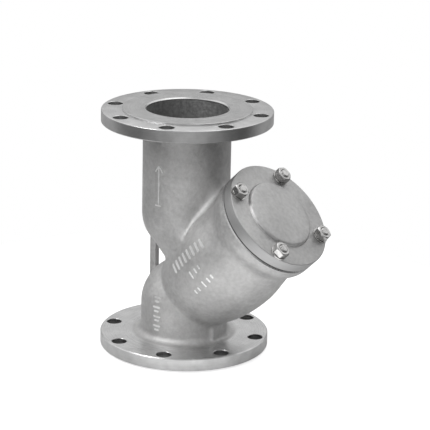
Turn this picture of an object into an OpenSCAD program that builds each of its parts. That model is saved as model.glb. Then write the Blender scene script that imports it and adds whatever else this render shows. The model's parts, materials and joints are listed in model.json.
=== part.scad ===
// Flanged Y strainer. The pipe axis is Z and the strainer leg leans towards +X.
// The origin is the centre of the bottom flange's raised face.

/* [Flanges] */
// Distance between the two raised faces
face_to_face = 298; // [290:1:320]
// Outside diameter of the pipe flanges
flange_d = 206; // [204:1:220]
// Thickness of a pipe flange without its raised face
flange_t = 15; // [13:1:18]
// Diameter of the raised face
face_d = 156; // [130:1:158]
// Height of the raised face
face_h = 2; // [1:0.5:3]
// Diameter of the circle of bolt holes
bolt_circle_d = 180; // [178:1:182]
// Number of bolt holes in each pipe flange
bolt_count = 8; // [4:4:8]
// Diameter of a bolt hole in a pipe flange
bolt_hole_d = 18; // [14:0.5:19]

/* [Runs] */
// Bore of the two straight runs
bore_d = 99; // [96:1:100]
// Outside diameter of the two straight runs
run_d = 106; // [105:1:108]
// Radius of the fillet between a run and its flange
run_fillet = 9; // [4:1:12]
// Height at which the strainer leg leaves the lower run
leg_z = 55; // [52:1:58]
// Height at which the branch leaves the upper run
branch_z = 170; // [166:1:174]
// Outside diameter of the branch
branch_d = 104; // [102:1:104]
// Bore of the branch
branch_bore_d = 92; // [84:1:92]

/* [Leg] */
// Outside radius of the leg where it leaves the lower run
leg_root_r = 46; // [46:0.5:47]
// Outside radius of the leg at its belly
leg_belly_r = 66.8; // [65:0.2:68]
// Outside radius of the leg at its waist, below the neck rim
leg_waist_r = 62; // [61:0.5:64]
// Outside radius of the neck rim and the cover
neck_r = 69; // [68.5:0.5:72]
// Wall of the leg
leg_wall = 4.5; // [3.5:0.5:5]
// Radius of the bore of the neck rim
neck_bore_r = 51; // [51:0.1:51.5]

/* [Cover] */
// Thickness of the cover's flat rim
cover_t = 14; // [12:0.5:16]
// Thickness of the gasket
gasket_t = 1.8; // [1:0.2:3]
// Diameter of the dome
dome_d = 88; // [84:1:92]
// Height of the dome above the rim
dome_h = 5.5; // [4:0.5:7]

/* [Fasteners] */
// Diameter of the circle of studs
stud_circle_d = 119; // [118:0.5:120]
// Number of studs
stud_count = 4; // [4:4:4]
// Stud diameter
stud_d = 10; // [8:1:10]
// Distance across the flats of a nut
nut_flats = 17; // [16:1:17]
// Height of a nut
nut_h = 8; // [6:0.5:8.5]
// Outside diameter of a washer
washer_d = 20; // [18:0.5:20]
// Thickness of a washer
washer_t = 2; // [1:0.5:2.5]
// How far a stud stands proud of its nut
stud_proud = 1.5; // [0.5:0.5:3]

/* [Screen] */
// Outside radius of the perforated tube
screen_r = 45.5; // [45:0.1:45.5]
// Thickness of the perforated tube
screen_wall = 1; // [0.8:0.1:1.2]
// Diameter of a hole in the perforated tube
screen_hole_d = 6; // [4:0.5:7]
// Holes in each ring of the perforated tube
screen_holes_round = 16; // [8:2:20]
// Rings of holes along the perforated tube
screen_hole_rings = 11; // [4:1:11]

/* [Hidden] */

$fn = 96;
eps = 0.5;                  // how far a cut runs past the face that it opens
gap = 0.1;                  // gap between faces of separate pieces that bear on each other
running = 0.05;             // radial clearance of a stud in its threads
edge = 1;                   // chamfer of the machined edges

leg_angle = 45;
run_r = run_d / 2;
bore_r = bore_d / 2;
flange_r = flange_d / 2;
face_r = face_d / 2;
flange_z = face_h + flange_t;
bore_edge = 1.5;

// Distances along the leg, from the middle of the bend in the lower run
branch_s = (branch_z - leg_z) * cos(leg_angle);
branch_l = (branch_z - leg_z) * sin(leg_angle);
leg_root_s = 27;            // where the barrel swells out of the bend
leg_belly_s = 100;
leg_waist_s = 147;
neck_rim_s = 170;
neck_s = 178;
cover_s = neck_s + 2 * gap + gasket_t;
cover_top_s = cover_s + cover_t;
blend_steps = 10;
swell_steps = 14;
swell_power = 1.9;          // how far along the swell stays full
swell_round = 0.58;         // how round its shoulder is

seat_s = 32;                // face that the screen stands on
seat_depth = 3;
seat_bore_r = 42.5;
seat_r = screen_r + 1.3;
seat_floor_t = 0.8;
chamber_end_s = 143;        // start of the taper into the neck bore
neck_bore_s = 157;
stud_hole_s = 160;
stud_hole_r = stud_d / 2 + running;
clear_hole_r = stud_d / 2 + 0.5;

rib_t = 8;                  // back rib, which bridges the notch between the runs
rib_x = -52.5;
rib_w = 9.5;
rib_low = 64;
rib_high = 158;
pad_w = 28;                 // pad on the lower run, under the leg
pad_x = 55.5;
pad_high = 52;
pad_root = 12;              // how deep the pad starts inside the run

spigot_r = neck_bore_r - 0.5;
spigot_bore_r = 44.5;
spigot_h = 7;
spigot_recess = 4;          // how far the spigot's bore runs into the rim
cover_hollow_r = 36;
cover_crown_t = 4;
gasket_inset = 0.3;
dome_edge = 3;
dome_crown = 1;

nut_r = nut_flats / sqrt(3);
washer_s = cover_top_s + gap / 2;
nut_s = washer_s + washer_t + gap / 2;
stud_top_s = nut_s + nut_h + stud_proud;

screen_s = seat_s + 1;
screen_end_s = cover_s - spigot_h - 2;
ring_t = 0.9;
ring_gap = 0.05;
seat_ring_h = 8;
cover_ring_h = 12;
cover_ring_flange = 1.5;
cover_ring_r = spigot_r - gap;
cover_ring_bore_r = 38.5;
mesh_t = 0.5;
seam_angle = 10;
seam_t = 0.8;
hole_pitch = 11;
first_hole_s = screen_s + 15;
handle_wire_r = 2;
handle_span = 41;           // distance of each foot of the handle from the leg's axis
handle_rise = 12;
handle_bend_r = (handle_span * handle_span + handle_rise * handle_rise) / (2 * handle_rise);
foot_t = 1.2;
foot_w = 12;
foot_l = 6;
foot_inset = 1;             // how far a foot's middle lies inside its rivet
rivet_room = 2.8;           // radius kept clear of wire round a rivet
rivet_r = 1;
rivet_head_r = 1.8;
rivet_head_h = 0.8;
rivet_head_edge = 0.4;

function ease(t) = (1 - cos(180 * t)) / 2;
function swell(t) = pow(1 - pow(1 - t, swell_power), swell_round);
function mix(a, b, t) = a + (b - a) * t;
function blend(r1, s1, r2, s2, first) = [
    for (i = [first:blend_steps])
        [mix(r1, r2, ease(i / blend_steps)), mix(s1, s2, i / blend_steps)]
];
// Steps are finest near the root, where the shoulder is steepest
function shoulder() = [
    for (i = [0:swell_steps])
        let (t = pow(i / swell_steps, 2))
            [mix(leg_root_r, leg_belly_r, swell(t)), mix(leg_root_s, leg_belly_s, t)]
];
function leg_side() = concat(
    [[leg_root_r, 0]],
    shoulder(),
    blend(leg_belly_r, leg_belly_s, leg_waist_r, leg_waist_s, 1),
    blend(leg_waist_r, leg_waist_s, neck_r, neck_rim_s, 1),
    [[neck_r, neck_s - edge], [neck_r - edge, neck_s]]
);
function chamber_side() = [
    for (p = leg_side())
        if (p[1] > seat_s + seat_depth && p[1] < chamber_end_s) [p[0] - leg_wall, p[1]]
];

// Local Z runs along the leg from the middle of the bend
module on_leg(s = 0) {
    translate([0, 0, leg_z]) rotate([0, leg_angle, 0]) translate([0, 0, s]) children();
}

module at_stud(index) {
    rotate([0, 0, 45 + index * 360 / stud_count]) translate([stud_circle_d / 2, 0, 0]) children();
}

module quarter_disc(r) {
    intersection() {
        circle(r);
        square(r);
    }
}

module tube(r_out, r_in, h) {
    rotate_extrude() translate([r_in, 0]) square([r_out - r_in, h]);
}

// Half section of a flange and the run on it, up to the ball that ends the run
module run_section(run_end) {
    difference() {
        union() {
            square([face_r, flange_z]);
            polygon([
                [0, face_h], [flange_r - edge, face_h], [flange_r, face_h + edge],
                [flange_r, flange_z - edge], [flange_r - edge, flange_z], [0, flange_z]
            ]);
            translate([0, flange_z - eps]) square([run_r + run_fillet, run_fillet + eps]);
            square([run_r, run_end]);
            translate([0, run_end]) quarter_disc(run_r);
        }
        translate([run_r + run_fillet, flange_z + run_fillet]) circle(run_fillet);
    }
}

module run_cavity_section(run_end) {
    translate([0, -eps]) square([bore_r, run_end + eps]);
    translate([0, run_end]) quarter_disc(bore_r);
    polygon([
        [0, -eps], [bore_r + bore_edge + eps, -eps], [bore_r + bore_edge, 0],
        [bore_r, bore_edge], [0, bore_edge]
    ]);
}

module flange_holes() {
    for (i = [0:bolt_count - 1])
        rotate([0, 0, (i + 0.5) * 360 / bolt_count])
            translate([bolt_circle_d / 2, 0, face_h - eps])
                cylinder(d = bolt_hole_d, h = flange_t + 2 * eps);
}

module from_top() {
    translate([0, 0, face_to_face]) mirror([0, 0, 1]) children();
}

module branch(r) {
    on_leg(branch_s) rotate([0, -90, 0]) cylinder(r = r, h = branch_l);
}

module back_rib() {
    translate([rib_x, -rib_t / 2, rib_low]) cube([rib_w, rib_t, rib_high - rib_low]);
}

module leg_pad() {
    translate([run_r - pad_root, -pad_w / 2, flange_z - eps])
        cube([pad_x - run_r + pad_root, pad_w, pad_high - flange_z]);
}

module body() {
    color("silver") difference() {
        union() {
            rotate_extrude() run_section(leg_z);
            from_top() rotate_extrude() run_section(face_to_face - branch_z);
            on_leg() rotate_extrude() polygon(concat([[0, 0]], leg_side(), [[0, neck_s]]));
            branch(branch_d / 2);
            back_rib();
            leg_pad();
        }
        rotate_extrude() run_cavity_section(leg_z);
        from_top() rotate_extrude() run_cavity_section(face_to_face - branch_z);
        on_leg() rotate_extrude() polygon(concat(
            [[0, 0], [seat_bore_r, 0], [seat_bore_r, seat_s], [seat_r, seat_s]],
            [[seat_r, seat_s + seat_depth]],
            chamber_side(),
            [[neck_bore_r, neck_bore_s], [neck_bore_r, neck_s + eps], [0, neck_s + eps]]
        ));
        branch(branch_bore_d / 2);
        flange_holes();
        from_top() flange_holes();
        on_leg(stud_hole_s) for (i = [0:stud_count - 1])
            at_stud(i) cylinder(r = stud_hole_r, h = neck_s - stud_hole_s + eps);
    }
}

module cover() {
    color("lightgray") on_leg(cover_s) difference() {
        rotate_extrude() difference() {
            union() {
                polygon([
                    [0, 0], [neck_r, 0], [neck_r, cover_t - edge], [neck_r - edge, cover_t],
                    [0, cover_t]
                ]);
                translate([0, -spigot_h]) square([spigot_r, spigot_h + eps]);
                polygon([
                    [0, cover_t - eps], [dome_d / 2, cover_t - eps],
                    [dome_d / 2, cover_t + dome_h - dome_crown - dome_edge],
                    [dome_d / 2 - dome_edge, cover_t + dome_h - dome_crown],
                    [dome_d / 4, cover_t + dome_h - dome_crown / 4],
                    [0, cover_t + dome_h]
                ]);
            }
            translate([0, -spigot_h - eps]) square([spigot_bore_r, spigot_h + eps + spigot_recess]);
            square([cover_hollow_r, cover_t - cover_crown_t]);
        }
        for (i = [0:stud_count - 1])
            at_stud(i) translate([0, 0, -eps]) cylinder(r = clear_hole_r, h = cover_t + 2 * eps);
    }
}

module cover_gasket() {
    color("dimgray") on_leg(neck_s + gap) difference() {
        tube(neck_r - edge, neck_bore_r + gasket_inset, gasket_t);
        for (i = [0:stud_count - 1])
            at_stud(i) translate([0, 0, -eps]) cylinder(r = clear_hole_r, h = gasket_t + 2 * eps);
    }
}

module stud(index) {
    stud_l = stud_top_s - stud_hole_s - eps;
    color("gainsboro") on_leg(stud_hole_s + eps) at_stud(index) rotate_extrude()
        polygon([
            [0, 0], [stud_d / 2 - edge, 0], [stud_d / 2, edge], [stud_d / 2, stud_l - edge],
            [stud_d / 2 - edge, stud_l], [0, stud_l]
        ]);
}

module washer(index) {
    color("whitesmoke") on_leg(washer_s) at_stud(index)
        tube(washer_d / 2, clear_hole_r, washer_t);
}

module nut(index) {
    corner = nut_r - nut_flats / 2;
    color("whitesmoke") on_leg(nut_s) at_stud(index) difference() {
        intersection() {
            cylinder(r = nut_r, h = nut_h, $fn = 6);
            rotate_extrude() polygon([
                [0, 0], [nut_r - corner, 0], [nut_r, corner / 2], [nut_r, nut_h - corner / 2],
                [nut_r - corner, nut_h], [0, nut_h]
            ]);
        }
        translate([0, 0, -eps]) cylinder(r = stud_hole_r, h = nut_h + 2 * eps);
    }
}

module screen_shell() {
    color("darkgray") on_leg(screen_s) difference() {
        tube(screen_r, screen_r - screen_wall, screen_end_s - screen_s);
        for (ring = [0:screen_hole_rings - 1], i = [0:screen_holes_round - 1])
            translate([0, 0, first_hole_s - screen_s + ring * hole_pitch])
                rotate([0, 90, (i + 0.5 + (ring % 2) * 0.5) * 360 / screen_holes_round])
                    translate([0, 0, screen_r - screen_wall - eps])
                        cylinder(d = screen_hole_d, h = screen_wall + 2 * eps, $fn = 24);
    }
}

module screen_mesh() {
    color("gray") on_leg(screen_s + 1)
        tube(screen_r - screen_wall - ring_gap, screen_r - screen_wall - ring_gap - mesh_t,
            screen_end_s - screen_s - 2);
}

module screen_seat_ring() {
    outer = screen_r + ring_gap;
    inner = screen_r - screen_wall - mesh_t - 2 * ring_gap;
    color("silver") on_leg(seat_s + gap) rotate_extrude()
        polygon([
            [inner - ring_t, 0], [outer + ring_t, 0], [outer + ring_t, seat_ring_h],
            [outer, seat_ring_h], [outer, seat_floor_t], [inner, seat_floor_t], [inner, seat_ring_h],
            [inner - ring_t, seat_ring_h]
        ]);
}

module screen_cover_ring() {
    outer = screen_r + ring_gap;
    color("silver") on_leg(screen_end_s) difference() {
        rotate_extrude() polygon([
            [cover_ring_bore_r, gap], [outer, gap], [outer, gap - cover_ring_h],
            [outer + ring_t, gap - cover_ring_h], [outer + ring_t, gap], [cover_ring_r, gap],
            [cover_ring_r, gap + cover_ring_flange], [cover_ring_bore_r, gap + cover_ring_flange]
        ]);
        for (side = [-1, 1])
            translate([0, side * handle_span, -eps])
                cylinder(r = rivet_r + running, h = cover_ring_flange + 2 * eps);
    }
}

module screen_seam_strip() {
    low = seat_s + gap + seat_ring_h + 1;
    high = screen_end_s - cover_ring_h - 1;
    color("silver") on_leg(low) rotate([0, 0, -seam_angle / 2]) rotate_extrude(angle = seam_angle)
        translate([screen_r + ring_gap, 0]) square([seam_t, high - low]);
}

module screen_handle() {
    bend_angle = asin(handle_span / handle_bend_r);
    foot_s = screen_end_s + gap + cover_ring_flange + ring_gap;
    color("silver") on_leg(foot_s) difference() {
        union() {
            intersection() {
                translate([0, 0, handle_rise - handle_bend_r + foot_t]) rotate([90, 0, 90])
                    rotate([0, 0, 90 - bend_angle]) rotate_extrude(angle = 2 * bend_angle)
                        translate([handle_bend_r, 0]) circle(handle_wire_r);
                translate([-foot_w, rivet_room - handle_span, gap])
                    cube([2 * foot_w, 2 * (handle_span - rivet_room), 3 * handle_rise]);
            }
            for (side = [-1, 1])
                translate([-foot_w / 2, side * (handle_span - foot_inset / 2) - foot_l / 2, 0])
                    cube([foot_w, foot_l, foot_t]);
        }
        for (side = [-1, 1])
            translate([0, side * handle_span, -eps])
                cylinder(r = rivet_r + running, h = foot_t + 2 * eps);
    }
}

module handle_rivet(side) {
    shank = ring_gap + cover_ring_flange + foot_t + ring_gap;
    color("gainsboro") on_leg(screen_end_s + gap - ring_gap / 2) translate([0, side * handle_span, 0])
        rotate_extrude() polygon([
            [0, 0], [rivet_r, 0], [rivet_r, shank], [rivet_head_r, shank],
            [rivet_head_r - rivet_head_edge, shank + rivet_head_h], [0, shank + rivet_head_h]
        ]);
}

body();
cover();
cover_gasket();
stud(0);  // stud_1
stud(1);  // stud_2
stud(2);  // stud_3
stud(3);  // stud_4
washer(0);  // washer_1
washer(1);  // washer_2
washer(2);  // washer_3
washer(3);  // washer_4
nut(0);  // nut_1
nut(1);  // nut_2
nut(2);  // nut_3
nut(3);  // nut_4
screen_shell();
screen_mesh();
screen_seat_ring();
screen_cover_ring();
screen_seam_strip();
screen_handle();
handle_rivet(-1);  // handle_rivet_1
handle_rivet(1);  // handle_rivet_2
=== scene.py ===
"""A flanged Y strainer in a plain studio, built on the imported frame.

Shapes are worked out in millimetres in the frame's own axes and put into Blender in metres.
"Leg axes" have their origin at the middle of the bend in the lower run and Z along the leg.
"""
import json
import math

import bpy
import numpy as np
import openvdb
from mathutils import Matrix, Vector
from mathutils.bvhtree import BVHTree


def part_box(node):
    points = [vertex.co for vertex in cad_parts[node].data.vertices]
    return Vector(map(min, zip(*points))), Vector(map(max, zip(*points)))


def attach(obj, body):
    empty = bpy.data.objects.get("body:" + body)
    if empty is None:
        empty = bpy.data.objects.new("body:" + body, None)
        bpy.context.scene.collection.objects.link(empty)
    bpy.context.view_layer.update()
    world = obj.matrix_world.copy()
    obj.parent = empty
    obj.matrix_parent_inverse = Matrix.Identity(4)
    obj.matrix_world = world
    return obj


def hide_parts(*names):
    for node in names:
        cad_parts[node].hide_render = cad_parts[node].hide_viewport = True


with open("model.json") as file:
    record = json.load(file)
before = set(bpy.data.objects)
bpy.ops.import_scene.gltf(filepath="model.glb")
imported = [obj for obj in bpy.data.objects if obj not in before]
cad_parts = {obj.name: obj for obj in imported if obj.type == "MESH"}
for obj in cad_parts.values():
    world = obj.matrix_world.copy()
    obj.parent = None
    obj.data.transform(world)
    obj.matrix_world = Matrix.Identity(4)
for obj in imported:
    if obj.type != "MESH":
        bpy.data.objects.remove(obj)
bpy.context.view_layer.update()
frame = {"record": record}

MM = 0.001
MOUNTS = {mount["name"]: mount for mount in frame["record"]["mounts"]}
BODY_LOW, BODY_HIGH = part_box("body")

# Flanges, runs, and the branch from the upper run into the leg, flatter on the cover's side
LENGTH = BODY_HIGH.z / MM
FLANGE_R = -BODY_LOW.x / MM
BORE_R = MOUNTS["outlet_bore"]["dims"]["r_mm"]
HOLE_CIRCLE_R = MOUNTS["outlet_bolts"]["dims"]["pcd_mm"] / 2
HOLE_COUNT = MOUNTS["outlet_bolts"]["dims"]["count"]
HOLE_R = MOUNTS["outlet_bolts"]["dims"]["hole_r_mm"]
FACE_H = MOUNTS["inlet_bolts"]["pos_m"][2] / MM
FACE_R = 78.0
FLANGE_Z = 17.0
RUN_R = 53.0
RUN_FILLET = 9.0
LEG_Z = 55.0
BRANCH_Z = 170.0
BRANCH_R = 52.0
BRANCH_FRONT_R = 38.0
BRANCH_BORE_R = 46.0

# Leg, as distances along its axis and radii round it
LEG_ANGLE = math.radians(45)
ROOT_S, ROOT_R = 27.0, 46.0
BELLY_S, BELLY_R = 100.0, 66.8
WAIST_S, WAIST_R = 147.0, 62.0
NECK_RIM_S, NECK_S, NECK_R = 170.0, 178.0, 69.0
SWELL_POWER, SWELL_ROUND = 1.9, 0.58
LEG_WALL = 4.5
SEAT_S = 32.0
SEAT_DEPTH = 3.0
SEAT_R = 46.8
SEAT_BORE_R = 42.5
SCREEN_RING_S = 171.1
SCREEN_RING_T = 1.5
CHAMBER_END_S = 143.0
NECK_BORE_S = 157.0
NECK_BORE_R = 51.0
GASKET_T = 1.8
COVER_S = 180.0
COVER_TOP_S = 194.0
WASHER_T = 2.0
NUT_H = 8.0
STUD_PROUD = 1.5
STUD_R = 5.0
STUD_HOLE_S = 160.0
STUD_CIRCLE_R = 59.5
CLEAR_HOLE_R = 5.5
STUD_ANGLES = [math.radians(45 + 90 * i) for i in range(4)]
THREAD_PITCH = 1.5

# Looks: depth of turning marks in metres, the range of their pattern, and the skin's grid
TURNED_BUMP = 0.00006
TOOL_MARKS = (0.7, 1.3)
VOXEL = 1.25

TO_LEG = Matrix.Translation((0, 0, LEG_Z)) @ Matrix.Rotation(LEG_ANGLE, 4, "Y")
LEG_AXIS = TO_LEG.to_3x3() @ Vector((0, 0, 1))
LEG_SIDE = TO_LEG.to_3x3() @ Vector((1, 0, 0))
BRANCH_S = (BRANCH_Z - LEG_Z) * math.cos(LEG_ANGLE)


# ---------------------------------------------------------------- mesh tools

def to_leg(points):
    """Points given in leg axes, in the frame's axes."""
    turn = np.array(TO_LEG.to_3x3())
    return np.asarray(points, float) @ turn.T + np.array(TO_LEG.translation)


def at_stud(points, index):
    """Points given round a stud's axis, in leg axes."""
    angle = STUD_ANGLES[index]
    c, s = math.cos(angle), math.sin(angle)
    p = np.asarray(points, float)
    x, y = p[:, 0] + STUD_CIRCLE_R, p[:, 1]
    return np.stack([c * x - s * y, s * x + c * y, p[:, 2]], 1)


def mesh_object(name, points, faces, sharp=35):
    """An object from points in millimetres, smooth but for edges above the sharp angle."""
    mesh = bpy.data.meshes.new(name)
    mesh.from_pydata((np.asarray(points, float) * MM).tolist(), [], [list(f) for f in faces])
    mesh.validate()
    piece = bpy.data.objects.new(name, mesh)
    bpy.context.scene.collection.objects.link(piece)
    shade(piece, sharp)
    return piece


def shade(piece, sharp):
    """Smooth shading, but for edges above the sharp angle in degrees."""
    piece.data.shade_smooth()
    piece.data.set_sharp_from_angle(angle=math.radians(sharp))


def revolve(profile, segments, closed=False):
    """Points and faces of a profile of (radius, height) turned about Z. Radius 0 makes a pole."""
    points, rings = [], []
    for radius, height in profile:
        if radius < 1e-9:
            rings.append([len(points)])
            points.append((0.0, 0.0, height))
        else:
            rings.append(list(range(len(points), len(points) + segments)))
            for i in range(segments):
                a = 2 * math.pi * i / segments
                points.append((radius * math.cos(a), radius * math.sin(a), height))
    faces = []
    pairs = list(zip(rings, rings[1:]))
    if closed:
        pairs.append((rings[-1], rings[0]))
    for low, high in pairs:
        if len(low) == 1 and len(high) == 1:
            continue
        for i in range(segments):
            j = (i + 1) % segments
            if len(low) == 1:
                faces.append((low[0], high[j], high[i]))
            elif len(high) == 1:
                faces.append((low[i], low[j], high[0]))
            else:
                faces.append((low[i], low[j], high[j], high[i]))
    return np.array(points), faces


def arc(centre, radius, start, end, steps=4):
    """Points on an arc in a profile, angles in degrees."""
    return [
        (
            centre[0] + radius * math.cos(math.radians(start + (end - start) * i / steps)),
            centre[1] + radius * math.sin(math.radians(start + (end - start) * i / steps)),
        )
        for i in range(steps + 1)
    ]


def joined(parts):
    """One set of points and faces from several."""
    points, faces, start = [], [], 0
    for p, f in parts:
        points.append(np.asarray(p, float))
        faces += [tuple(start + i for i in face) for face in f]
        start += len(p)
    return np.concatenate(points), faces


def cut(piece, points, faces, operation="DIFFERENCE"):
    """Applies a boolean with a closed mesh given in millimetres."""
    tool = mesh_object("tool", points, faces)
    change = piece.modifiers.new("cut", "BOOLEAN")
    change.operation = operation
    change.solver = "MANIFOLD"
    change.object = tool
    result = bpy.data.meshes.new_from_object(
        piece.evaluated_get(bpy.context.evaluated_depsgraph_get())
    )
    piece.modifiers.clear()
    old = piece.data
    piece.data = result
    bpy.data.meshes.remove(old)
    mesh = tool.data
    bpy.data.objects.remove(tool)
    bpy.data.meshes.remove(mesh)


def cut_at_studs(piece, profile, segments):
    """Cuts a profile, turned about each stud's axis and given in leg axes."""
    points, faces = revolve(profile, segments)
    cut(piece, *joined([(to_leg(at_stud(points, i)), faces) for i in range(len(STUD_ANGLES))]))


def drill(low, high, radius, over, bevel=0.6):
    """Profile of a cutter for a through hole from low to high, with both its edges broken."""
    wide = radius + bevel
    return [
        (0, low - over), (wide, low - over), (wide, low), (radius, low + bevel),
        (radius, high - bevel), (wide, high), (wide, high + over), (0, high + over),
    ]


def place(piece, body, material, nodes=()):
    """Gives a piece its material and its body, and hides the CAD nodes that it stands for."""
    piece.data.materials.clear()
    piece.data.materials.append(material)
    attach(piece, body)
    if nodes:
        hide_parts(*nodes)
    return piece


# ---------------------------------------------------------------- materials

class Nodes:
    """A small helper that builds one material's node tree."""

    def __init__(self, name):
        self.material = bpy.data.materials.new(name)
        self.material.use_nodes = True
        self.tree = self.material.node_tree
        self.shader = self.tree.nodes["Principled BSDF"]
        self.place = self.add("ShaderNodeTexCoord").outputs["Object"]

    def add(self, kind):
        return self.tree.nodes.new(kind)

    def set(self, socket, value):
        if isinstance(value, bpy.types.NodeSocket):
            self.tree.links.new(value, socket)
        else:
            socket.default_value = value

    def math(self, operation, a, b=0.0):
        node = self.add("ShaderNodeMath")
        node.operation = operation
        self.set(node.inputs[0], a)
        self.set(node.inputs[1], b)
        return node.outputs[0]

    def noise(self, where, scale, detail=3.0, rough=0.5, dimensions="3D"):
        node = self.add("ShaderNodeTexNoise")
        node.noise_dimensions = dimensions
        if dimensions == "1D":
            self.set(node.inputs["W"], where)
        else:
            self.set(node.inputs["Vector"], where)
        node.inputs["Scale"].default_value = scale
        node.inputs["Detail"].default_value = detail
        node.inputs["Roughness"].default_value = rough
        return node.outputs["Fac"]

    def spread(self, value, low, high, to_low=0.0, to_high=1.0):
        """Maps low..high to to_low..to_high, and holds the ends."""
        node = self.add("ShaderNodeMapRange")
        for key, number in (
            ("Value", value), ("From Min", low), ("From Max", high),
            ("To Min", to_low), ("To Max", to_high),
        ):
            self.set(node.inputs[key], number)
        return node.outputs[0]

    def blend(self, share, a, b):
        """Colour a where share is 0 and b where it is 1."""
        node = self.add("ShaderNodeMix")
        node.data_type = "RGBA"
        self.set(node.inputs[0], share)
        self.set(node.inputs[6], a)
        self.set(node.inputs[7], b)
        return node.outputs[2]

    def between(self, share, a, b):
        """Number a where share is 0 and b where it is 1."""
        node = self.add("ShaderNodeMix")
        self.set(node.inputs[0], share)
        self.set(node.inputs[2], a)
        self.set(node.inputs[3], b)
        return node.outputs[0]

    def split(self, vector):
        node = self.add("ShaderNodeSeparateXYZ")
        self.set(node.inputs[0], vector)
        return node.outputs

    def length(self, x, y):
        """Length of a vector in a plane."""
        squares = self.math("ADD", self.math("MULTIPLY", x, x), self.math("MULTIPLY", y, y))
        return self.math("SQRT", squares)

    def mixed(self, a, b, share_a, share_b):
        """A weighted sum of two values."""
        return self.math("ADD", self.math("MULTIPLY", a, share_a), self.math("MULTIPLY", b, share_b))

    def turned(self, vector):
        """Distance from the Z axis, and height, of a point in metres."""
        x, y, z = self.split(vector)
        return self.length(x, y), z

    def leg_place(self):
        """The shaded point in leg axes."""
        node = self.add("ShaderNodeMapping")
        node.vector_type = "TEXTURE"
        node.inputs["Location"].default_value = (0, 0, LEG_Z * MM)
        node.inputs["Rotation"].default_value = (0, LEG_ANGLE, 0)
        self.set(node.inputs["Vector"], self.place)
        return node.outputs[0]

    def bump(self, height, distance, normal=None):
        node = self.add("ShaderNodeBump")
        node.inputs["Strength"].default_value = 1.0
        node.inputs["Distance"].default_value = distance
        self.set(node.inputs["Height"], height)
        if normal is not None:
            self.set(node.inputs["Normal"], normal)
        return node.outputs["Normal"]

    def finish(self, colour, rough, normal, metallic=1.0):
        self.set(self.shader.inputs["Base Color"], colour)
        self.set(self.shader.inputs["Roughness"], rough)
        self.set(self.shader.inputs["Normal"], normal)
        self.shader.inputs["Metallic"].default_value = metallic
        return self.material


def grey(value, warmth=0.0):
    """A grey, a little redder than blue where warmth is above 0."""
    return (value * (1 + warmth), value, value * (1 - warmth), 1.0)


def blasted(nodes):
    """Colour, roughness and height of bead-blasted cast steel."""
    grain = nodes.noise(nodes.place, 1500, 2.0, 0.6)
    mottle = nodes.noise(nodes.place, 220, 4.0, 0.6)
    cloud = nodes.noise(nodes.place, 26, 3.0, 0.5)
    tone = nodes.mixed(mottle, cloud, 0.6, 0.4)
    colour = nodes.blend(nodes.spread(tone, 0.32, 0.68), grey(0.44, 0.004), grey(0.64, 0.004))
    rough = nodes.spread(mottle, 0.3, 0.7, 0.50, 0.62)
    height = nodes.mixed(grain, mottle, 0.5, 1.0)
    return colour, rough, height


def machined(nodes, radius, height):
    """Colour, roughness and height of a surface turned about an axis."""
    fine, shift = 1400, 3.0
    rings = nodes.noise(radius, fine, 3.0, 0.7, "1D")
    lines = nodes.noise(nodes.math("ADD", height, shift), fine, 3.0, 0.7, "1D")
    marks = nodes.math("ADD", rings, lines)
    wear = nodes.noise(nodes.place, 60, 4.0, 0.6)
    tone = nodes.mixed(wear, marks, 0.5, 0.25)
    colour = nodes.blend(nodes.spread(tone, 0.36, 0.64), grey(0.53), grey(0.75))
    rough = nodes.spread(marks, *TOOL_MARKS, 0.24, 0.36)
    return colour, rough, marks


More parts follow.
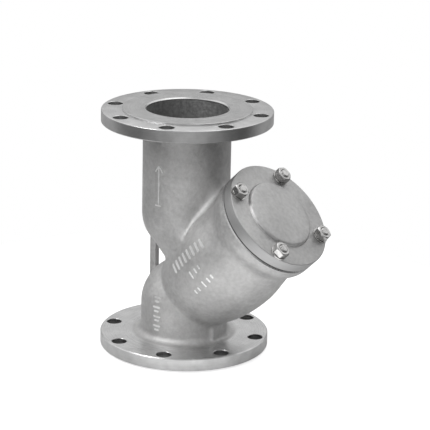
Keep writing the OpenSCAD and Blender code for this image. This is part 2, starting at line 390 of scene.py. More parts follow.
def casting_steel():
    """Blasted skin, with turned flanges and neck rim, painted shade in the bolt holes, and bores darker
    inside.
    """
    n = Nodes("casting_steel")
    colour, rough, height = blasted(n)
    radius, up = n.turned(n.place)
    from_end = n.math("MINIMUM", up, n.math("SUBTRACT", LENGTH * MM, up))
    fillet_end, fade = RUN_R + RUN_FILLET, 4.0
    on_flange = n.math(
        "MULTIPLY",
        n.spread(radius, fillet_end * MM, (fillet_end + fade) * MM),
        n.math("LESS_THAN", from_end, (FLANGE_Z + 0.2) * MM),
    )
    near_end = n.math("LESS_THAN", from_end, (FACE_H + 1) * MM)
    from_leg, leg_height = n.turned(n.leg_place())
    on_rim = n.math("GREATER_THAN", leg_height, (NECK_S - 1.5) * MM)
    on_rim = n.math("MULTIPLY", on_rim, n.math("LESS_THAN", from_leg, (NECK_R + 6) * MM))
    face = n.math("MAXIMUM", on_flange, n.math("MAXIMUM", near_end, on_rim))
    marks_colour, marks_rough, marks = machined(n, radius, up)
    normal = n.bump(n.math("MULTIPLY", height, n.math("SUBTRACT", 1.0, face)), 0.0005)
    normal = n.bump(n.math("MULTIPLY", marks, face), TURNED_BUMP, normal)
    colour = n.blend(face, colour, marks_colour)
    rough = n.between(face, rough, marks_rough)

    # The drilled holes get painted shade, a darker colour: each point is measured from the middle of the
    # nearest hole
    x, y, _ = n.split(n.place)
    pitch = 2 * math.pi / HOLE_COUNT
    angle = n.math("ADD", n.math("ARCTAN2", y, x), 4 * math.pi)
    angle = n.math("SUBTRACT", n.math("MODULO", angle, pitch), pitch / 2)
    outward = n.math("MULTIPLY", radius, n.math("COSINE", angle))
    outward = n.math("SUBTRACT", outward, HOLE_CIRCLE_R * MM)
    aside = n.math("MULTIPLY", radius, n.math("SINE", angle))
    hole_shade = n.math("LESS_THAN", n.length(outward, aside), (HOLE_R + 0.3) * MM)
    hole_shade = n.math("MULTIPLY", hole_shade, n.math("LESS_THAN", from_end, (FLANGE_Z + 0.5) * MM))
    # Painted shade: the hole walls are coloured darker than the faces round them
    colour = n.blend(hole_shade, colour, grey(0.45))

    # Inside the bores, beyond their turned mouths, the colour is darker and mottled
    past_mouth, before_bend = n.spread(from_end, 0.0015, 0.003), n.spread(from_end, 0.055, 0.04)
    deep = n.math("MULTIPLY", past_mouth, before_bend)
    deep = n.math("MULTIPLY", n.math("LESS_THAN", radius, (BORE_R + 0.3) * MM), deep)
    stain = n.noise(n.place, 260, 5.0, 0.65)
    bore_inside_colour = n.blend(n.spread(stain, 0.38, 0.62), grey(0.29), grey(0.42))
    return n.finish(n.blend(deep, colour, bore_inside_colour), rough, normal)


def worn_steel():
    """Raised marks, coloured lighter than the casting as a painted highlight."""
    n = Nodes("worn_steel")
    mottle = n.noise(n.place, 400, 3.0, 0.6)
    # The lighter colour of the marks is a painted highlight
    colour = n.blend(n.spread(mottle, 0.3, 0.7), grey(0.76), grey(0.94))
    rough = n.spread(mottle, 0.3, 0.7, 0.28, 0.4)
    return n.finish(colour, rough, n.bump(mottle, 0.0001), metallic=0.55)


def cover_steel():
    """Blasted cover with a turned rim and underside."""
    n = Nodes("cover_steel")
    colour, rough, height = blasted(n)
    radius, up = n.turned(n.leg_place())
    rim = n.spread(radius, (NECK_R - 0.9) * MM, (NECK_R - 0.7) * MM)
    under = n.math("LESS_THAN", up, (COVER_S + 0.05) * MM)
    face = n.math("MAXIMUM", rim, under)
    marks_colour, marks_rough, marks = machined(n, radius, up)

    # The rim is duller than the underside
    rim_colour = n.blend(n.spread(marks, *TOOL_MARKS), grey(0.38), grey(0.56))
    rim_rough = n.spread(marks, *TOOL_MARKS, 0.48, 0.6)
    marks_colour = n.blend(rim, marks_colour, rim_colour)
    marks_rough = n.between(rim, marks_rough, rim_rough)
    normal = n.bump(n.math("MULTIPLY", height, n.math("SUBTRACT", 1.0, face)), 0.00025)
    normal = n.bump(n.math("MULTIPLY", marks, face), TURNED_BUMP, normal)
    return n.finish(n.blend(face, colour, marks_colour), n.between(face, rough, marks_rough), normal)


def bright_steel():
    """Studs, nuts and washers."""
    n = Nodes("bright_steel")
    scratch = n.noise(n.place, 900, 4.0, 0.7)
    stain = n.noise(n.place, 180, 3.0, 0.6)
    colour = n.blend(n.spread(stain, 0.35, 0.7), grey(0.62, 0.01), grey(0.36, 0.01))
    rough = n.spread(scratch, 0.3, 0.7, 0.16, 0.3)
    return n.finish(colour, rough, n.bump(scratch, 0.00008))


def sheet_steel():
    """Rolled sheet of the screen, with faint lengthwise rolling lines."""
    n = Nodes("sheet_steel")
    x, y, _ = n.split(n.leg_place())
    angle = n.math("ARCTAN2", y, x)
    lines = n.noise(n.math("ADD", angle, 4.0), 90, 4.0, 0.7, "1D")
    stain = n.noise(n.place, 120, 3.0, 0.6)
    colour = n.blend(n.spread(stain, 0.3, 0.7), grey(0.66), grey(0.55))
    rough = n.spread(lines, 0.3, 0.7, 0.24, 0.38)
    return n.finish(colour, rough, n.bump(lines, 0.00005))


def wire_cloth():
    """Plain-woven wire cloth round the leg's axis, with painted shade between and under its wires."""
    n = Nodes("wire_cloth")
    x, y, z = n.split(n.leg_place())
    angle = n.math("ARCTAN2", y, x)
    pitch, wires_round = 0.9 * MM, 300
    across = n.math("MULTIPLY", angle, wires_round)
    along = n.math("MULTIPLY", z, 2 * math.pi / pitch)

    def wires(over, under):
        return n.math("MULTIPLY", n.math("SINE", over), n.math("COSINE", n.math("MULTIPLY", under, 0.5)))

    weave = n.math("MAXIMUM", wires(across, along), wires(along, across))
    # Painted shade: the colour is near black between the wires and where one wire dips under another
    colour = n.blend(n.spread(weave, -0.2, 0.8), grey(0.06), grey(0.55))
    rough = n.spread(weave, -0.2, 0.8, 0.6, 0.32)
    return n.finish(colour, rough, n.bump(weave, 0.0002))


def gasket_sheet():
    """Black fibre sheet."""
    n = Nodes("gasket_sheet")
    fibre = n.noise(n.place, 1200, 4.0, 0.7)
    colour = n.blend(fibre, grey(0.012), grey(0.04))
    rough = n.spread(fibre, 0.3, 0.7, 0.6, 0.85)
    return n.finish(colour, rough, n.bump(fibre, 0.0002), metallic=0.0)


# ---------------------------------------------------------------- casting

def leg_radius(s):
    """Outside radius of the leg at distances s: a round shoulder, a belly, a waist and a rim."""
    def ease(low, high):
        return (1 - np.cos(np.pi * np.clip((s - low) / (high - low), 0, 1))) / 2

    s = np.asarray(s, float)
    left = 1 - np.clip((s - ROOT_S) / (BELLY_S - ROOT_S), 0, 1)
    swell = (1 - left ** SWELL_POWER) ** SWELL_ROUND
    radius = ROOT_R + (BELLY_R - ROOT_R) * swell
    radius += (WAIST_R - BELLY_R) * ease(BELLY_S, WAIST_S)
    return radius + (NECK_R - WAIST_R) * ease(WAIST_S, NECK_RIM_S)


def turned_field(profile, wide, low, high, step=0.5):
    """Signed distance to a solid of revolution, looked up in a table over its half section."""
    reach = np.arange(0, wide, step)[:, None]
    rise = np.arange(low, high, step)[None, :]
    nearest = np.full((reach.size, rise.size), np.inf)
    inside = np.zeros(nearest.shape, bool)
    for (r1, h1), (r2, h2) in zip(profile, profile[1:]):
        dr, dh = r2 - r1, h2 - h1
        share = np.clip(((reach - r1) * dr + (rise - h1) * dh) / (dr * dr + dh * dh), 0, 1)
        gap = (reach - r1 - share * dr) ** 2 + (rise - h1 - share * dh) ** 2
        nearest = np.minimum(nearest, gap)
        if dh:
            crossed = (h1 > rise) != (h2 > rise)
            inside ^= crossed & (reach < r1 + (rise - h1) * dr / dh)
    table = np.where(inside, -1, 1) * np.sqrt(nearest)
    table = table.astype(np.float32)

    def field(radius, height):
        a = np.clip(radius / step, 0, table.shape[0] - 1.001)
        b = np.clip((height - low) / step, 0, table.shape[1] - 1.001)
        i, j = a.astype(np.int32), b.astype(np.int32)
        a, b = a - i, b - j
        near = table[i, j] * (1 - b) + table[i, j + 1] * b
        far = table[i + 1, j] * (1 - b) + table[i + 1, j + 1] * b
        return near * (1 - a) + far * a

    return field


def round_union(a, b, radius):
    """Union of two distance fields with a round fillet."""
    corner = np.sqrt(np.maximum(radius - a, 0) ** 2 + np.maximum(radius - b, 0) ** 2)
    return np.maximum(radius, np.minimum(a, b)) - corner


def skin_field(x, y, z):
    """Distance to the casting's outer skin, with solid runs and flanges left oversize."""
    from_run = np.sqrt(x * x + y * y)

    def run(low, high):
        beyond = z - np.clip(z, low, high)
        return np.sqrt(x * x + y * y + beyond * beyond) - RUN_R

    def slab(low, high):
        return np.maximum(from_run - (FLANGE_R + 2), np.maximum(low - z, z - high))

    def block(centre, half, edge):
        dx, dy, dz = (np.abs(p - c) - h + edge for p, c, h in zip((x, y, z), centre, half))
        outside = np.maximum(dx, 0) ** 2 + np.maximum(dy, 0) ** 2 + np.maximum(dz, 0) ** 2
        return np.sqrt(outside) + np.minimum(np.maximum(dx, np.maximum(dy, dz)), 0) - edge

    def growing(along, start, length, small, large):
        return small + (large - small) * np.clip((along - start) / length, 0, 1)

    s = x * LEG_AXIS.x + (z - LEG_Z) * LEG_AXIS.z
    side = x * LEG_SIDE.x + (z - LEG_Z) * LEG_SIDE.z
    from_axis = np.sqrt(side * side + y * y)
    stations = ROOT_S + (NECK_S - ROOT_S) * np.linspace(0, 1, 100) ** 2
    sides = [(float(r), float(h)) for r, h in zip(leg_radius(stations), stations)]
    end, widest, lowest, highest = NECK_S + 4, 120, -30, 220
    section = [(0, 0), (ROOT_R, 0), *sides, (NECK_R, end), (0, end)]
    barrel = turned_field(section, widest, lowest, highest)

    # Past the branch's axis, towards the cover, it is flatter and the run goes on down behind it
    past, overlap = s - BRANCH_S, 5
    flat = np.where(past > 0, past * (BRANCH_R / BRANCH_FRONT_R), past)
    along = np.clip(side, -BRANCH_S, 0)
    branch = np.sqrt(flat * flat + y * y + (side - along) ** 2) - BRANCH_R
    behind = np.maximum(np.maximum(from_run - RUN_R, -past), z - BRANCH_Z - overlap)
    upper = np.minimum(run(BRANCH_Z, LENGTH), behind)
    upper = round_union(upper, branch, growing(past, 0, 20, 0.01, 8.01))

    # The crease between barrel and branch widens towards the cover
    barrel_fillet, small_fillet = 12, 3
    field = round_union(run(0, LEG_Z), barrel(from_axis, s), barrel_fillet)
    field = round_union(field, upper, growing(s, 105, 45, 2.5, 20))
    field = round_union(field, slab(-3, FLANGE_Z), RUN_FILLET)
    field = round_union(field, slab(LENGTH - FLANGE_Z, LENGTH + 3), RUN_FILLET)

    # The rib at the back, and the pad between the leg and the lower flange
    rib = block((-47.75, 0, 111), (4.75, 4, 47), 0.8)
    pad = block((45.5, 0, 34), (10, 14, 18), 1.5)
    return round_union(round_union(field, rib, small_fillet), pad, small_fillet)


def skin(step):
    """The casting's outer skin as a mesh, from its distance field."""
    around, ends, beyond_neck = 5.0, 6.0, 8.0
    low = np.array([-FLANGE_R - around, -FLANGE_R - around, -ends])
    high = np.array([BODY_HIGH.x / MM + beyond_neck, FLANGE_R + around, LENGTH + ends])
    x, y, z = (
        np.arange(a, b, step, dtype=np.float32).reshape([-1 if i == axis else 1 for i in range(3)])
        for axis, (a, b) in enumerate(zip(low, high))
    )
    grid = openvdb.FloatGrid()
    grid.copyFromArray(np.ascontiguousarray(skin_field(x, y, z), dtype=np.float32))
    points, triangles, quads = grid.convertToPolygons(isovalue=0.0, adaptivity=0.0)
    faces = [f[::-1] for f in triangles.tolist()] + [f[::-1] for f in quads.tolist()]
    return points * step + low, faces


def turning_envelope():
    """Solid of revolution that trims the flanges to their turned size."""
    edge, inset, wide, margin = 1.0, 1.5, BODY_HIGH.x / MM + 20, 0.5
    bevel = 0.4
    low = [
        (0, 0), (FACE_R - bevel, 0), (FACE_R, bevel), (FACE_R, FACE_H),
        *arc((FLANGE_R - edge, FACE_H + edge), edge, -90, 0),
        (FLANGE_R, FLANGE_Z - edge), (FLANGE_R - inset, FLANGE_Z + margin), (wide, FLANGE_Z + margin),
    ]
    high = [(r, LENGTH - h) for r, h in reversed(low)]
    return revolve(low + high, 256)


def run_cavity(run_end):
    """Cutter for one run's bore, from below its mouth to the ball that ends it."""
    bevel = 1.5
    return [
        (0, -2), (BORE_R + bevel, -2), (BORE_R + bevel, 0), (BORE_R, bevel),
        *arc((0, run_end), BORE_R, 0, 90, 24)[:-1], (0, run_end + BORE_R),
    ]


def leg_cavity():
    """Cutter for the screen chamber, in leg axes."""
    stations = range(int(SEAT_S + SEAT_DEPTH), int(CHAMBER_END_S) + 1, 4)
    side = [(float(leg_radius(s)) - LEG_WALL, s) for s in stations]
    return [
        (0, 0), (SEAT_BORE_R, 0), (SEAT_BORE_R, SEAT_S), (SEAT_R, SEAT_S),
        (SEAT_R, SEAT_S + SEAT_DEPTH), *side,
        (NECK_BORE_R, NECK_BORE_S), (NECK_BORE_R, NECK_S - 0.8), (NECK_BORE_R + 2, NECK_S + 1.2),
        (0, NECK_S + 1.2),
    ]


def upside_down(points, faces):
    """Mirrors a mesh from the lower flange to the upper one."""
    turned = np.array(points) * (1, 1, -1) + (0, 0, LENGTH)
    return turned, [tuple(reversed(f)) for f in faces]


def casting(material):
    """The whole casting: its skin, cut by the turned faces, bores, chamber and holes."""
    piece = mesh_object("casting", *skin(VOXEL))
    cut(piece, *turning_envelope(), "INTERSECT")
    cut(piece, *revolve(run_cavity(LEG_Z), 192))
    cut(piece, *upside_down(*revolve(run_cavity(LENGTH - BRANCH_Z), 192)))

    points, faces = revolve(leg_cavity(), 160)
    cut(piece, to_leg(points), faces)
    reach = (BRANCH_Z - LEG_Z) * math.sin(LEG_ANGLE)
    points, faces = revolve([(0, 0), (BRANCH_BORE_R, 0), (BRANCH_BORE_R, reach), (0, reach)], 160)
    points = np.stack([-points[:, 2], points[:, 1], points[:, 0] + BRANCH_S], 1)
    cut(piece, to_leg(points), faces)

    # The neck's turned face, with its outer edge broken
    top, bevel, clear = NECK_S, 1.4, NECK_R + 6
    points, faces = revolve([
        (0, top), (NECK_R - bevel, top), (NECK_R, top - bevel), (clear, top - bevel),
        (clear, top + 12), (0, top + 12),
    ], 192)
    cut(piece, to_leg(points), faces)

    points, faces = revolve(drill(FACE_H, FLANGE_Z, HOLE_R, 2), 48)
    holes = []
    for i in range(HOLE_COUNT):
        a = 2 * math.pi * (i + 0.5) / HOLE_COUNT
        shift = (HOLE_CIRCLE_R * math.cos(a), HOLE_CIRCLE_R * math.sin(a), 0)
        holes.append((points + shift, faces))
        holes.append(upside_down(points + shift, faces))
    cut(piece, *joined(holes))

    tapped, mouth = STUD_R + 0.1, STUD_R + 0.8
    cut_at_studs(piece, [
        (0, STUD_HOLE_S), (tapped, STUD_HOLE_S), (tapped, top - 0.7), (mouth, top),
        (mouth, top + 1), (0, top + 1),
    ], 32)
    shade(piece, 32)
    cast_marks(piece)
    return place(piece, "casting", material, ["body"])


def stroke(tree, start, end, width, height, steps=12):
    """A half-round raised bar on the casting, between two points near its skin."""
    start, end = Vector(start), Vector(end)
    length = (end - start).length
    across, sunk, smallest, points, faces = 7, 0.5, 0.05, [], []
    for i in range(steps + 1):
        near = start.lerp(end, i / steps)
        spot, out, _, _ = tree.find_nearest(near * MM)
        spot, out = spot / MM, out.normalized()
        aside = out.cross(end - start).normalized()
        from_end = min(i, steps - i) / steps * length
        full = math.sqrt(max(0.0, 1 - max(0.0, 1 - from_end / (width / 2)) ** 2))
        full = max(full, smallest)
        for k in range(across):
            a = math.pi * k / (across - 1)
            rise = math.sin(a) ** 0.6 * height * full - (sunk if k in (0, across - 1) else 0)
            points.append(spot + aside * (math.cos(a) * width / 2 * full) + out * rise)
    for i in range(steps):
        for k in range(across):
            m = (k + 1) % across
            faces.append((i * across + k, i * across + m, (i + 1) * across + m, (i + 1) * across + k))
    faces.append(tuple(reversed(range(across))))
    faces.append(tuple(range(steps * across, (steps + 1) * across)))
    return np.array([tuple(p) for p in points]), faces


def cast_marks(casting_piece):
    """Plain raised bars and a flow arrow, where a maker casts its marks."""
    tree = BVHTree.FromObject(casting_piece, bpy.context.evaluated_depsgraph_get())

    def on_leg(s, angle):
        a, r = math.radians(angle), BELLY_R
        return TO_LEG @ Vector((r * math.cos(a), r * math.sin(a), s))

    def on_run(angle, z):
        a = math.radians(angle)
        return Vector((RUN_R * math.cos(a), RUN_R * math.sin(a), z))

    large = [(on_leg(65 + 8 * i, -117.5), on_leg(67 + 8 * i, -104.5)) for i in range(8)]
    small = [
        (on_leg(s, low), on_leg(s, high))
        for s, low, high in (
            (88, -96, -87), (97, -95, -89), (104, -95, -90),
            (95, -80, -72), (104, -79, -73), (111, -79, -74),
            (77, -78, -73), (84, -78, -73),
        )
    ]
    for z in (69.5, 57.5, 45.5, 33.5):
        small.append((on_run(-97, z + 2.5), on_run(-85, z + 2.5)))
        small.append((on_run(-95, z - 2.5), on_run(-87, z - 2.5)))
    tip = on_run(-90, 237)
    arrow = [(on_run(-90, 189), tip), (on_run(-96, 188), on_run(-86, 188))]
    arrow += [(on_run(-90 + side, 229), tip) for side in (-6, 6)]

    parts = [
        stroke(tree, start, end, width, height)
        for bars, width, height in ((large, 3.4, 2.2), (small, 2.4, 1.7), (arrow, 1.8, 1.2))
        for start, end in bars
    ]
    marks = mesh_object("cast_marks", *joined(parts), 60)
    return place(marks, "casting", worn_steel())


# ---------------------------------------------------------------- cover and gasket

def cover(material):
    """The round cover, with a raised dome, a spigot and a hollow underside."""
    thick, edge, dome, rise = COVER_TOP_S - COVER_S, 0.9, 44.0, 5.5
    foot, shoulder, crown, steps = 0.9, 3.4, 1.2, 8

    # From the middle of the hollow, round the spigot and the rim, to the middle of the dome
    profile = [
        (0, 12), (36, 12), (37, 11), (37, 5), (38, 4), (44.5, 4), (44.5, -6.5), (45, -7),
        (50.0, -7), (50.5, -6.5), (50.5, 0),
        (NECK_R - 0.6, 0), (NECK_R, 0.6), (NECK_R, thick - edge),
        *arc((NECK_R - edge, thick - edge), edge, 0, 90),
        *arc((dome + foot, thick + foot), foot, 270, 180),
        *arc((dome - shoulder, thick + rise - crown - shoulder), shoulder, 0, 84, 6),
    ]
    rim_r, rim_z = profile[-1]
    top = thick + rise
    profile += [
        (rim_r * (1 - i / steps), top - (top - rim_z) * (1 - i / steps) ** 2)
        for i in range(1, steps + 1)
    ]
    points, faces = revolve(profile, 256)
    piece = mesh_object("cover", to_leg(points + (0, 0, COVER_S)), faces)
    cut_at_studs(piece, drill(COVER_S, COVER_TOP_S, CLEAR_HOLE_R, 1), 48)
    shade(piece, 32)
    return place(piece, "lid", material, ["cover"])


def gasket(material):
    """The flat ring between neck and cover, with a hole for each stud."""
    outer, inner, edge = NECK_R - 1, NECK_BORE_R + 0.3, 0.3
    low = NECK_S + 0.1
    high = low + GASKET_T
    points, faces = revolve([
        (inner, low), (outer - edge, low), (outer, low + edge), (outer, high - edge),
        (outer - edge, high), (inner, high),
    ], 192, closed=True)
    piece = mesh_object("gasket", to_leg(points), faces)
    hole = [(0, low - 1), (CLEAR_HOLE_R, low - 1), (CLEAR_HOLE_R, high + 1), (0, high + 1)]
    cut_at_studs(piece, hole, 40)
    shade(piece, 32)
    return place(piece, "seal", material, ["cover_gasket"])


# ---------------------------------------------------------------- fasteners

def stud(index, low, high, material):
    """A threaded stud from low to high along the leg."""
    rows, columns, depth, end_bevel = 8, 32, 0.75, 1.1
    heights = np.arange(low, high + 1e-6, THREAD_PITCH / rows)
    heights[-1] = high
    angles = 2 * np.pi * np.arange(columns) / columns
    h, a = np.meshgrid(heights, angles, indexing="ij")
    phase = (h / THREAD_PITCH - a / (2 * np.pi)) % 1.0
    crest = np.clip(np.abs(phase - 0.5) * 2.4 - 0.1, 0, 1)
    radius = STUD_R - depth * (1 - crest)
    from_end = np.minimum(h - low, high - h)
    radius = np.minimum(radius, STUD_R - end_bevel + from_end)
    ring = np.stack([radius * np.cos(a), radius * np.sin(a), h], -1).reshape(-1, 3)
    points = np.concatenate([ring, [(0, 0, low), (0, 0, high)]])
    faces = []
    for row in range(len(heights) - 1):
        for i in range(columns):
            j, base = (i + 1) % columns, row * columns
            faces.append((base + i, base + j, base + columns + j, base + columns + i))
    last = (len(heights) - 1) * columns
    for i in range(columns):
        j = (i + 1) % columns
        faces.append((len(ring), j, i))
        faces.append((last + i, last + j, len(ring) + 1))
    name = f"stud_{index + 1}"
    piece = mesh_object(name + "_threaded", to_leg(at_stud(points, index)), faces, 30)
    return place(piece, "casting", material, [name])


def hexagon(flats, rounding, steps=3, parts=7):
    """Outline of a hexagon with rounded corners, its sides split into parts."""
    corner = (flats / 2 - rounding) / math.cos(math.pi / 6)
    outline = []
    for i in range(6):
        middle = math.pi / 3 * i
        for k in range(steps + 1):
            a = middle + (k / steps - 0.5) * math.pi / 3
            outline.append((
                corner * math.cos(middle) + rounding * math.cos(a),
                corner * math.sin(middle) + rounding * math.sin(a),
            ))
        here = np.array(outline[-1])
        following = middle + math.pi / 3
        a = following - math.pi / 6
        there = np.array([corner * math.cos(following), corner * math.sin(following)])
        there = there + rounding * np.array([math.cos(a), math.sin(a)])
        outline += [tuple(here + (there - here) * k / parts) for k in range(1, parts)]
    return np.array(outline)


def nut(index, low, high, material):
    """A chamfered hexagon nut with a threaded bore."""
    flats, face_r, bore = 17.0, 8.0, STUD_R + 0.05
    bevel, groove, lead_in = 0.8, 0.35, 0.7
    outline = hexagon(flats, 0.5)
    outer = np.hypot(outline[:, 0], outline[:, 1])
    way = outline / outer[:, None]
    fall = np.maximum(outer - face_r, 0) * math.tan(math.radians(30))

    def ring(radius, height):
        return np.full_like(outer, radius), np.full_like(outer, height)

    rings = [
        ring(face_r, low), (outer, low + fall), (outer, high - fall), ring(face_r, high),
        ring(bore + bevel, high), ring(bore + 0.1, high - lead_in),
    ]
    for k in range(int((high - low - 2 * lead_in) / THREAD_PITCH)):
        top = high - lead_in - k * THREAD_PITCH
        rings.append(ring(bore + groove, top - THREAD_PITCH / 2))
        rings.append(ring(bore, top - THREAD_PITCH))
    rings.append(ring(bore + 0.1, low + lead_in))
    rings.append(ring(bore + bevel, low))
    points = np.concatenate([
        np.column_stack([way * radius[:, None], height]) for radius, height in rings
    ])
    size = len(outline)
    faces = []
    for row in range(len(rings)):
        base, upper = row * size, (row + 1) % len(rings) * size
        for i in range(size):
            j = (i + 1) % size
            faces.append((base + i, base + j, upper + j, upper + i))
    name = f"nut_{index + 1}"
    piece = mesh_object(name + "_hex", to_leg(at_stud(points, index)), faces, 25)
    return place(piece, f"nut_body_{index + 1}", material, [name])


def washer(index, low, high, material):
    """A flat washer with a rounded upper edge."""
    outer, inner, edge = 10.0, 5.5, 0.35
    points, faces = revolve([
        (inner, low + 0.2), (inner + 0.2, low), (outer - 0.1, low), (outer, low + 0.1),
        *arc((outer - edge, high - edge), edge, 0, 90, 3), (inner + 0.2, high), (inner, high - 0.2),
    ], 72, closed=True)
    name = f"washer_{index + 1}"
    piece = mesh_object(name + "_flat", to_leg(at_stud(points, index)), faces, 25)
    return place(piece, f"washer_body_{index + 1}", material, [name])


# ---------------------------------------------------------------- screen

def perforated_tube(radius, wall, low, high, columns, rows, hole_r):
    """A tube with staggered round holes, from low to high."""
    cell_w, cell_h = 2 * math.pi * radius / columns, (high - low) / rows
    rim = [(-1, -1), (0, -1), (1, -1), (1, 0), (1, 1), (0, 1), (-1, 1), (-1, 0)]
    sides = 2 * len(rim)
    index, points, faces = {}, [], []

    def point(across, up, depth):
        key = (round(across * 1000) % round(2 * math.pi * radius * 1000), round(up * 1000), depth)
        if key not in index:
            a, r = across / radius, radius - depth * wall
            index[key] = len(points)
            points.append((r * math.cos(a), r * math.sin(a), up))
        return index[key]

    for row in range(rows):
        for column in range(columns):
            x = (column + 0.5 * (row % 2)) * cell_w
            y = low + (row + 0.5) * cell_h
            loops = []
            for depth in (0, 1):
                edge = [point(x + i * cell_w / 2, y + j * cell_h / 2, depth) for i, j in rim]
                hole = []
                for k in range(sides):
                    a = math.radians(225 + 360 / sides * k)
                    hole.append(point(x + hole_r * math.cos(a), y + hole_r * math.sin(a), depth))
                for k in range(len(rim)):
                    face = [
                        edge[k], edge[(k + 1) % len(rim)],
                        hole[(2 * k + 2) % sides], hole[2 * k + 1], hole[2 * k],
                    ]
                    faces.append(tuple(face if depth == 0 else reversed(face)))
                loops.append(hole)
            outer, inner = loops
            for k in range(sides):
                m = (k + 1) % sides
                faces.append((outer[k], outer[m], inner[m], inner[k]))
    return np.array(points), faces


def screen_shell(material):
    """The perforated tube, with a plain band at each end."""
    radius, wall, low, high = 45.5, 1.0, 33.0, 171.0
    band_low, band_high, columns, rows, hole_r = 41.0, 158.5, 60, 26, 1.55
    inner = radius - wall
    parts = [perforated_tube(radius, wall, band_low, band_high, columns, rows, hole_r)]
    for a, b in ((low, band_low), (band_high, high)):
        band = [(inner, a), (radius, a), (radius, b), (inner, b)]
        parts.append(revolve(band, columns * 2, closed=True))
    points, faces = joined(parts)
    piece = mesh_object("perforated_screen", to_leg(points), faces, 30)
    return place(piece, "basket", material, ["screen_shell"])


def screen_mesh(material):
    """The thin wire liner; its weave is in the material."""
    outer, inner, low, high = 44.45, 43.95, 34.0, 170.0
    section = [(inner, low), (outer, low), (outer, high), (inner, high)]
    points, faces = revolve(section, 180, closed=True)
    piece = mesh_object("wire_cloth_liner", to_leg(points), faces, 30)
    return place(piece, "basket", material, ["screen_mesh"])


def screen_rings(material):
    """The channel ring at the seat and the flanged ring under the cover."""
    outer, inner, t, e = 45.55, 43.9, 0.9, 0.3
    low, high = SEAT_S + 0.1, SEAT_S + 8.1
    points, faces = revolve([
        (inner - t + e, low), (outer + t - e, low), (outer + t, low + e), (outer + t, high - e),
        (outer + t - e, high), (outer, high), (outer, low + 0.8), (inner, low + 0.8),
        (inner, high), (inner - t + e, high), (inner - t, high - e), (inner - t, low + e),
    ], 144, closed=True)
    seat = mesh_object("seat_ring", to_leg(points), faces, 30)
    place(seat, "basket", material, ["screen_seat_ring"])

    flange_r, bore = 50.4, 38.5
    base, top = SCREEN_RING_S, SCREEN_RING_S + SCREEN_RING_T
    skirt = base - 12
    points, faces = revolve([
        (bore, base + e), (bore + e, base), (outer, base), (outer, skirt),
        (outer + t - e, skirt), (outer + t, skirt + e), (outer + t, base),
        (flange_r - e, base), (flange_r, base + e), (flange_r, top - e),
        (flange_r - e, top), (bore + e, top), (bore, top - e),
    ], 144, closed=True)
    ring = mesh_object("cover_end_ring", to_leg(points), faces, 30)
    place(ring, "basket", material, ["screen_cover_ring"])


def seam_strip(material):
    """The strip over the tube's seam, with a row of spot welds."""
    low, high, inner, t, half = 41.5, 158.0, 45.55, 0.7, math.radians(5)
    rows, columns, spot_r, spot_depth, weld_pitch = 234, 16, 1.6, 0.35, 9.0
    points, faces = [], []
    for depth in (0, 1):
        for i in range(rows + 1):
            s = low + (high - low) * i / rows
            for j in range(columns + 1):
                a = half * (2 * j / columns - 1)
                off = math.hypot((s - low - weld_pitch / 2) % weld_pitch - weld_pitch / 2, inner * a)
                dimple = spot_depth * max(0.0, 1 - (off / spot_r) ** 2)
                r = inner + (t - dimple if depth == 0 else 0.0)
                points.append((r * math.cos(a), r * math.sin(a), s))
    size, width = (rows + 1) * (columns + 1), columns + 1
    for i in range(rows):
        for j in range(columns):
            a = i * width + j
            faces.append((a, a + 1, a + width + 1, a + width))
            faces.append((size + a, size + a + width, size + a + width + 1, size + a + 1))
    loop = list(range(columns)) + [i * width + columns for i in range(rows)]
    loop += [rows * width + columns - j for j in range(columns)]
    loop += [(rows - i) * width for i in range(rows)]
    for a, b in zip(loop, loop[1:] + loop[:1]):
        faces.append((b, a, size + a, size + b))
    piece = mesh_object("seam_strip", to_leg(points), faces, 40)
    return place(piece, "basket", material, ["screen_seam_strip"])


def handle(material):
    """A bent wire bail whose ends are flattened into riveted feet."""
    foot_s = SCREEN_RING_S + SCREEN_RING_T + 0.05
    foot_half, rise, squareness, wire = 0.6, 12.0, 3.2, 2.0
    span, beyond, foot_from, widen, thin = 41.0, 2.2, 0.86, 1.6, 0.7
    steps, sides = 48, 14
    path, size = [], []
    for i in range(steps + 1):
        t = 2 * i / steps - 1
        height = (rise + foot_half) * (1 - abs(t) ** squareness) + foot_half
        flat = max(0.0, (abs(t) - foot_from) / (1 - foot_from))
        path.append((0.0, t * (span + beyond), foot_s + height))
        size.append((wire * (1 + widen * flat), wire * (1 - thin * flat)))
    points, faces = [], []
    path = np.array(path)
    for i, (centre, (wide, thick)) in enumerate(zip(path, size)):
        ahead = path[min(i + 1, steps)] - path[max(i - 1, 0)]
        ahead /= np.linalg.norm(ahead)
        up = np.cross((1.0, 0.0, 0.0), ahead)
        for k in range(sides):
            a = 2 * math.pi * k / sides
            points.append(centre + np.array([wide * math.cos(a), 0, 0]) + up * thick * math.sin(a))
    for i in range(steps):
        for k in range(sides):
            m = (k + 1) % sides
            faces.append((i * sides + k, i * sides + m, (i + 1) * sides + m, (i + 1) * sides + k))
    faces.append(tuple(reversed(range(sides))))
    faces.append(tuple(range(steps * sides, (steps + 1) * sides)))
    piece = mesh_object("bail", to_leg(points), faces, 40)
    place(piece, "basket", material, ["screen_handle"])
    for number, side in ((1, -1), (2, 1)):
        profile = [(0, 0), (1.0, 0), (1.0, 2.4), (1.8, 2.4), (1.7, 2.8), (1.2, 3.2), (0, 3.4)]
        points, faces = revolve(profile, 24)
        points = points + (0, side * span, SCREEN_RING_S)
        rivet = mesh_object(f"bail_rivet_{number}", to_leg(points), faces, 30)
        place(rivet, "basket", material, [f"handle_rivet_{number}"])


# ---------------------------------------------------------------- studio

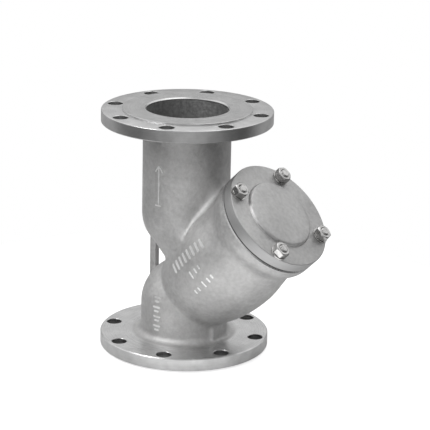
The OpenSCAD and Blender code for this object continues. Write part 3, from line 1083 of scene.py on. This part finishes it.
def studio(front):
    """A pale table, two softboxes, and a room of soft light seen only in reflections.

    The room is a world shader over directions: front is the level way to the camera's side.
    It is brightest in a ring above the part, and dimmest level with it at the sides.
    """
    bpy.context.scene.view_settings.view_transform = "Standard"
    radius, sides = 0.45, 128
    points, faces = revolve([(0, 0), (radius / MM, 0)], sides)
    floor = mesh_object("floor", points, [f[::-1] for f in faces])
    floor.location.z = BODY_LOW.z - 0.0002
    n = Nodes("floor_paint")
    faint = n.noise(n.place, 4, 2.0)
    colour = n.blend(faint, grey(0.55), grey(0.6))
    n.shader.inputs["Emission Color"].default_value = (1, 1, 1, 1)

    # A pool of light on the floor in front of the part shows in its reflections only
    x, y, _ = n.split(n.place)
    ahead = n.mixed(x, y, front.x, front.y)
    near_edge = n.spread(ahead, 0.08, 0.24, 0.05, 1.12)
    far_edge = n.spread(ahead, 0.28, 0.42, 1.0, 0.2)
    pool, pale = n.math("MULTIPLY", near_edge, far_edge), 0.72
    seen = n.add("ShaderNodeLightPath").outputs["Is Camera Ray"]
    n.set(n.shader.inputs["Emission Strength"], n.between(seen, pool, pale))
    floor.data.materials.append(n.finish(colour, 0.9, n.bump(faint, 0.0001), metallic=0.0))

    world = bpy.data.worlds.new("studio")
    bpy.context.scene.world = world
    world.use_nodes = True
    tree = world.node_tree

    def add(kind):
        return tree.nodes.new(kind)

    way = add("ShaderNodeTexCoord").outputs["Generated"]

    def along(direction):
        node = add("ShaderNodeVectorMath")
        node.operation = "DOT_PRODUCT"
        tree.links.new(way, node.inputs[0])
        node.inputs[1].default_value = direction
        return node.outputs["Value"]

    def ramp(value, stops):
        """Brightness from a value between -1 and 1, by stops in rising order."""
        share = add("ShaderNodeMapRange")
        tree.links.new(value, share.inputs["Value"])
        share.inputs["From Min"].default_value = -1
        node = add("ShaderNodeValToRGB")
        tree.links.new(share.outputs[0], node.inputs[0])
        node.color_ramp.interpolation = "EASE"
        while len(node.color_ramp.elements) < len(stops):
            node.color_ramp.elements.new(0.5)
        for element, (at, bright) in zip(node.color_ramp.elements, stops):
            element.position = (at + 1) / 2
            element.color = (bright, bright, bright, 1)
        return node.outputs["Color"]

    def plus(a, b):
        node = add("ShaderNodeMix")
        node.data_type, node.blend_type = "RGBA", "ADD"
        node.inputs[0].default_value = 1.0
        tree.links.new(a, node.inputs[6])
        tree.links.new(b, node.inputs[7])
        return node.outputs[2]

    level = ramp(along(front), [
        (-1, 0.34), (-0.5, 0.36), (-0.25, 0.3), (-0.05, 0.06), (0.2, 0.04), (0.5, 0.07),
        (0.82, 0.2), (1, 0.46),
    ])
    height = ramp(along((0, 0, 1)), [
        (-1, 0.1), (0.15, 0.0), (0.4, 0.42), (0.58, 0.76), (0.8, 0.56), (1, 0.25),
    ])
    aside = ramp(along((-front.y, front.x, 0)), [(-1, 0.04), (-0.4, 0.02), (0.2, 0.0)])
    total = plus(plus(level, height), aside)
    room, backdrop = add("ShaderNodeBackground"), add("ShaderNodeBackground")
    tree.links.new(total, room.inputs["Color"])
    backdrop.inputs["Color"].default_value = (1, 1, 1, 1)
    choice = add("ShaderNodeMixShader")
    tree.links.new(add("ShaderNodeLightPath").outputs["Is Camera Ray"], choice.inputs[0])
    tree.links.new(room.outputs[0], choice.inputs[1])
    tree.links.new(backdrop.outputs[0], choice.inputs[2])
    tree.links.new(choice.outputs[0], tree.nodes["World Output"].inputs["Surface"])

    def softbox(name, at, aim, width, height, power):
        light = bpy.data.lights.new(name, "AREA")
        light.shape = "RECTANGLE"
        light.size, light.size_y, light.energy = width, height, power
        lamp = bpy.data.objects.new(name, light)
        bpy.context.scene.collection.objects.link(lamp)
        lamp.location = at
        lamp.rotation_mode = "QUATERNION"
        lamp.rotation_quaternion = (Vector(at) - Vector(aim)).to_track_quat("Z", "Y")

    middle = (0.04, 0, 0.16)
    softbox("key", (-0.45, -1.1, 1.2), middle, 0.6, 0.6, 10)
    softbox("top", (0.1, 0.3, 1.5), middle, 0.9, 0.9, 4)


def camera():
    """The view of the reference: a long lens, a little above and to the right.

    Returns the level direction from the part to the camera.
    """
    azimuth, elevation, roll = (math.radians(a) for a in (36.77, 17.31, 1.2285))
    distance, aim, lens = 2.29525, Vector((0.04401, 0.0, 0.17302)), 160.69
    back = Vector((
        math.sin(azimuth) * math.cos(elevation),
        -math.cos(azimuth) * math.cos(elevation),
        math.sin(elevation),
    ))
    data = bpy.data.cameras.new("camera")
    data.lens, data.sensor_width = lens, 36.0
    data.clip_start, data.clip_end = 0.1, 30
    view = bpy.data.objects.new("camera", data)
    bpy.context.scene.collection.objects.link(view)
    view.location = aim + back * distance
    view.rotation_mode = "QUATERNION"
    turn = (-back).to_track_quat("-Z", "Y")
    view.rotation_quaternion = turn @ Matrix.Rotation(roll, 4, "Z").to_quaternion()
    bpy.context.scene.camera = view
    return Vector((back.x, back.y, 0)).normalized()


front = camera()
casting_material = casting_steel()
bright = bright_steel()
sheet = sheet_steel()
casting(casting_material)
cover(cover_steel())
gasket(gasket_sheet())
gap = 0.05
washer_low = COVER_TOP_S + gap
nut_low = washer_low + WASHER_T + gap
nut_high = nut_low + NUT_H
for number in range(len(STUD_ANGLES)):
    stud(number, STUD_HOLE_S + 0.5, nut_high + STUD_PROUD, bright)
    washer(number, washer_low, washer_low + WASHER_T, bright)
    nut(number, nut_low, nut_high, bright)
screen_shell(sheet)
screen_mesh(wire_cloth())
screen_rings(sheet)
seam_strip(sheet)
handle(bright)
studio(front)
